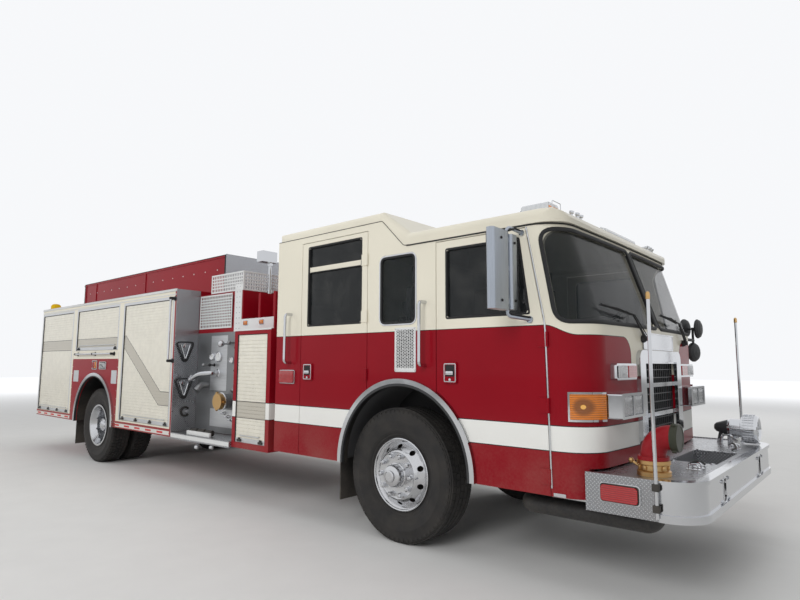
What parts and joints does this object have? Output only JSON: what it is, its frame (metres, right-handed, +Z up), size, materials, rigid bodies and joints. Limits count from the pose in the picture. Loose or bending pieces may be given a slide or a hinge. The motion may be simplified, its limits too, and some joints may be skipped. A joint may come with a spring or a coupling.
{
  "type": "fire engine",
  "caption": "Cab-forward pumper with crew cab, bumper suction elbow, side pump bay, hose bed, roll-up door body, steered front wheels and twin rear wheels.",
  "frame": {"origin": "on the ground under the middle of the overall length and width", "axes": "+X forward, +Y to the left, +Z up"},
  "size_m": [10.545, 3.176, 2.845],
  "materials": {
    "red_paint": "gloss",
    "cream_paint": "gloss",
    "black_metal": "satin",
    "bright_metal": "polished",
    "tread_plate": "embossed satin",
    "steel_panel": "brushed",
    "shutter_paint": "painted satin",
    "guard_metal": "satin",
    "brass": "dull",
    "iron": "painted",
    "tyre": "matte",
    "rubber": "matte",
    "glass": "tinted",
    "clear_lens": "clear",
    "amber_lens": "ribbed",
    "red_lens": "ribbed",
    "seat_cloth": "woven",
    "trim_plastic": "grained",
    "lamp_cover": "clear"
  },
  "bodies": {
    "chassis": {"frame_rails": "black_metal", "front_axle": "iron", "rear_axle": "iron", "engine_and_drive": "iron", "tank_and_pipes": "black_metal", "cab_floor": "trim_plastic", "cab_sides": "cream_paint", "cab_front": "red_paint", "cab_rear_wall": "cream_paint", "cab_roof": "cream_paint", "cab_glass": "glass", "seats": "seat_cloth", "dashboard": "trim_plastic", "grille": "bright_metal", "lamp_housings": "bright_metal", "clear_lenses": "clear_lens", "amber_lenses": "amber_lens", "red_lenses": "red_lens", "light_bar": "lamp_cover", "rails_and_rods": "bright_metal", "wheel_arch_trim": "bright_metal", "mud_flaps": "rubber", "bumper": "bright_metal", "bumper_deck": "tread_plate", "brass_fittings": "brass", "siren": "bright_metal", "corner_mirrors": "black_metal", "body_sides": "cream_paint", "body_centre": "black_metal", "red_panels": "red_paint", "shutters": "shutter_paint", "door_frames": "guard_metal", "hose_bed": "red_paint", "diamond_plates": "tread_plate", "pump_house": "red_paint", "pump_panels": "steel_panel", "perforated_guards": "guard_metal"},
    "mast": {"mast_lamp": "bright_metal"},
    "tie_bar": {"tie_rod": "iron"},
    "elbow": {"suction_elbow": "red_paint"},
    "steering_right": {"knuckle_right": "iron"},
    "front_wheel_right": {"front_tyre_right": "tyre", "front_rim_right": "bright_metal"},
    "rear_wheels_right": {"rear_tyres_right": "tyre", "rear_rims_right": "bright_metal"},
    "front_door_right": {"door_front_right": "cream_paint", "glass_front_right": "glass", "mirror_right": "bright_metal"},
    "rear_door_right": {"door_rear_right": "cream_paint", "glass_rear_right": "glass"},
    "steering_left": {"knuckle_left": "iron"},
    "front_wheel_left": {"front_tyre_left": "tyre", "front_rim_left": "bright_metal"},
    "rear_wheels_left": {"rear_tyres_left": "tyre", "rear_rims_left": "bright_metal"},
    "front_door_left": {"door_front_left": "cream_paint", "glass_front_left": "glass", "mirror_left": "bright_metal"},
    "rear_door_left": {"door_rear_left": "cream_paint", "glass_rear_left": "glass"}
  },
  "joints": [
    {"name": "steer_right", "type": "hinge", "parent": "chassis", "child": "steering_right", "pos_m": [2.9875, -0.9, 0.54], "axis": [0, 0, 1], "range_deg": [-38, 38]},
    {"name": "roll_front_right", "type": "hinge", "parent": "steering_right", "child": "front_wheel_right", "pos_m": [2.9875, -1.003, 0.54], "axis": [0, 1, 0], "continuous": true},
    {"name": "roll_rear_right", "type": "hinge", "parent": "chassis", "child": "rear_wheels_right", "pos_m": [-2.8625, -1.05, 0.53], "axis": [0, 1, 0], "continuous": true},
    {"name": "open_front_door_right", "type": "hinge", "parent": "chassis", "child": "front_door_right", "pos_m": [4.3745, -1.23, 1.1], "axis": [0, 0, 1], "range_deg": [0, 70]},
    {"name": "open_rear_door_right", "type": "hinge", "parent": "chassis", "child": "rear_door_right", "pos_m": [2.6915, -1.23, 1.8], "axis": [0, 0, 1], "range_deg": [0, 70]},
    {"name": "steer_left", "type": "hinge", "parent": "chassis", "child": "steering_left", "pos_m": [2.9875, 0.9, 0.54], "axis": [0, 0, 1], "range_deg": [-38, 38]},
    {"name": "roll_front_left", "type": "hinge", "parent": "steering_left", "child": "front_wheel_left", "pos_m": [2.9875, 1.003, 0.54], "axis": [0, 1, 0], "continuous": true},
    {"name": "roll_rear_left", "type": "hinge", "parent": "chassis", "child": "rear_wheels_left", "pos_m": [-2.8625, 1.05, 0.53], "axis": [0, 1, 0], "continuous": true},
    {"name": "open_front_door_left", "type": "hinge", "parent": "chassis", "child": "front_door_left", "pos_m": [4.3745, 1.23, 1.1], "axis": [0, 0, -1], "range_deg": [0, 70]},
    {"name": "open_rear_door_left", "type": "hinge", "parent": "chassis", "child": "rear_door_left", "pos_m": [2.6915, 1.23, 1.8], "axis": [0, 0, -1], "range_deg": [0, 70]},
    {"name": "shift_tie_rod", "type": "hinge", "parent": "steering_right", "child": "tie_bar", "pos_m": [2.7875, -0.75, 0.36], "axis": [0, 0, 1], "range_deg": [-38, 38]},
    {"name": "turn_elbow", "type": "hinge", "parent": "chassis", "child": "elbow", "pos_m": [4.9575, -1, 0.9], "axis": [0, 0, 1], "range_deg": [-180, 180]},
    {"name": "raise_mast", "type": "slide", "parent": "chassis", "child": "mast", "axis": [0, 0, 1], "range_m": [0, 0.9]}
  ],
  "couplings": [
    {"joint": "steer_left", "follows": "steer_right", "ratio": 1},
    {"joint": "shift_tie_rod", "follows": "steer_right", "ratio": -1}
  ]
}
